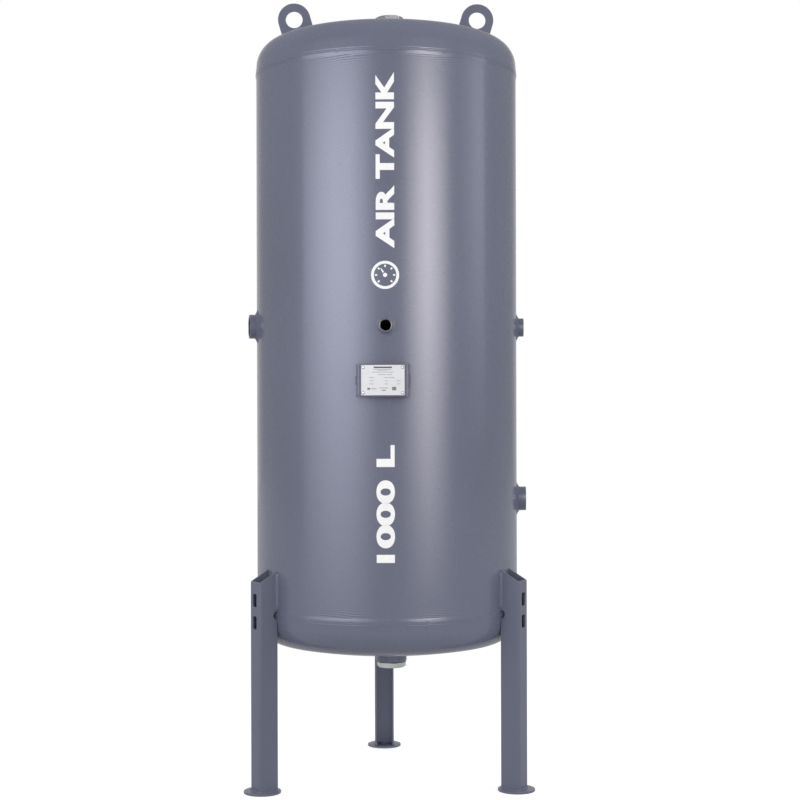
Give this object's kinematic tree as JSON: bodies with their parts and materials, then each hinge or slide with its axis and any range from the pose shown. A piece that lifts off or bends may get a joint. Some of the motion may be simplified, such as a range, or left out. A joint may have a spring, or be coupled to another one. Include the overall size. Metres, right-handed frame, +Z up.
{
  "type": "air receiver tank",
  "caption": "Upright welded air receiver with dished ends, channel legs on round feet, lifting lugs, screwed sockets, hexagon plugs in the end bosses and a riveted nameplate.",
  "frame": {"origin": "on the vessel's axis at floor level, at the centre of the circle through the three anchor holes", "axes": "+Z up along the vessel's axis, -Y to the front with the nameplate, +X to the right"},
  "size_m": [0.8617, 0.9115, 2.3838],
  "materials": {
    "vessel_paint": "semi-gloss slate grey powder coat on steel",
    "weld_paint": "the same powder coat over rippled weld beads",
    "fitting_paint": "the same powder coat over turned steel",
    "lug_paint": "the same powder coat over flame-cut plate",
    "leg_paint": "the same powder coat over folded steel",
    "plate_metal": "satin anodised sheet with a printed form",
    "rivet_metal": "plain aluminium",
    "plug_zinc": "bright zinc plate",
    "seal_rubber": "matt black"
  },
  "bodies": {
    "vessel": {"shell_cylinder": "vessel_paint", "top_head": "vessel_paint", "bottom_head": "vessel_paint", "top_girth_weld": "weld_paint", "bottom_girth_weld": "weld_paint", "long_seam_weld": "weld_paint", "top_boss": "fitting_paint", "bottom_boss": "fitting_paint", "top_boss_weld": "weld_paint", "bottom_boss_weld": "weld_paint", "inlet_socket": "fitting_paint", "inlet_socket_weld": "weld_paint", "relief_socket": "fitting_paint", "relief_socket_weld": "weld_paint", "outlet_socket": "fitting_paint", "outlet_socket_weld": "weld_paint", "gauge_socket": "fitting_paint", "gauge_socket_weld": "weld_paint", "lifting_lug_left": "lug_paint", "lifting_lug_left_weld": "weld_paint", "lifting_lug_right": "lug_paint", "lifting_lug_right_weld": "weld_paint", "leg_left": "leg_paint", "leg_left_weld": "weld_paint", "foot_left": "leg_paint", "foot_left_weld": "weld_paint", "leg_right": "leg_paint", "leg_right_weld": "weld_paint", "foot_right": "leg_paint", "foot_right_weld": "weld_paint", "leg_rear": "leg_paint", "leg_rear_weld": "weld_paint", "foot_rear": "leg_paint", "foot_rear_weld": "weld_paint", "nameplate_bracket": "leg_paint", "nameplate_bracket_weld": "weld_paint", "data_plate": "plate_metal", "data_plate_rivets": "rivet_metal"},
    "top_seal": {"top_plug_seal": "seal_rubber"},
    "top_plug": {"top_plug": "plug_zinc"},
    "bottom_seal": {"bottom_plug_seal": "seal_rubber"},
    "bottom_plug": {"bottom_plug": "plug_zinc"}
  },
  "joints": [
    {"name": "top_plug_lift", "type": "slide", "parent": "vessel", "child": "top_seal", "axis": [0, 0, 1], "range_m": [0, 0.01857]},
    {"name": "top_plug_unscrew", "type": "hinge", "parent": "top_seal", "child": "top_plug", "pos_m": [0.012, 0, 2.32522], "axis": [0, 0, 1], "range_deg": [0, 2880]},
    {"name": "bottom_plug_lift", "type": "slide", "parent": "vessel", "child": "bottom_seal", "axis": [0, 0, -1], "range_m": [0, 0.01857]},
    {"name": "bottom_plug_unscrew", "type": "hinge", "parent": "bottom_seal", "child": "bottom_plug", "pos_m": [0.012, 0, 0.35078], "axis": [0, 0, -1], "range_deg": [0, 2880]}
  ],
  "couplings": [
    {"joint": "top_plug_lift", "follows": "top_plug_unscrew", "m_per_rad": 0.00036749},
    {"joint": "bottom_plug_lift", "follows": "bottom_plug_unscrew", "m_per_rad": 0.00036749}
  ]
}
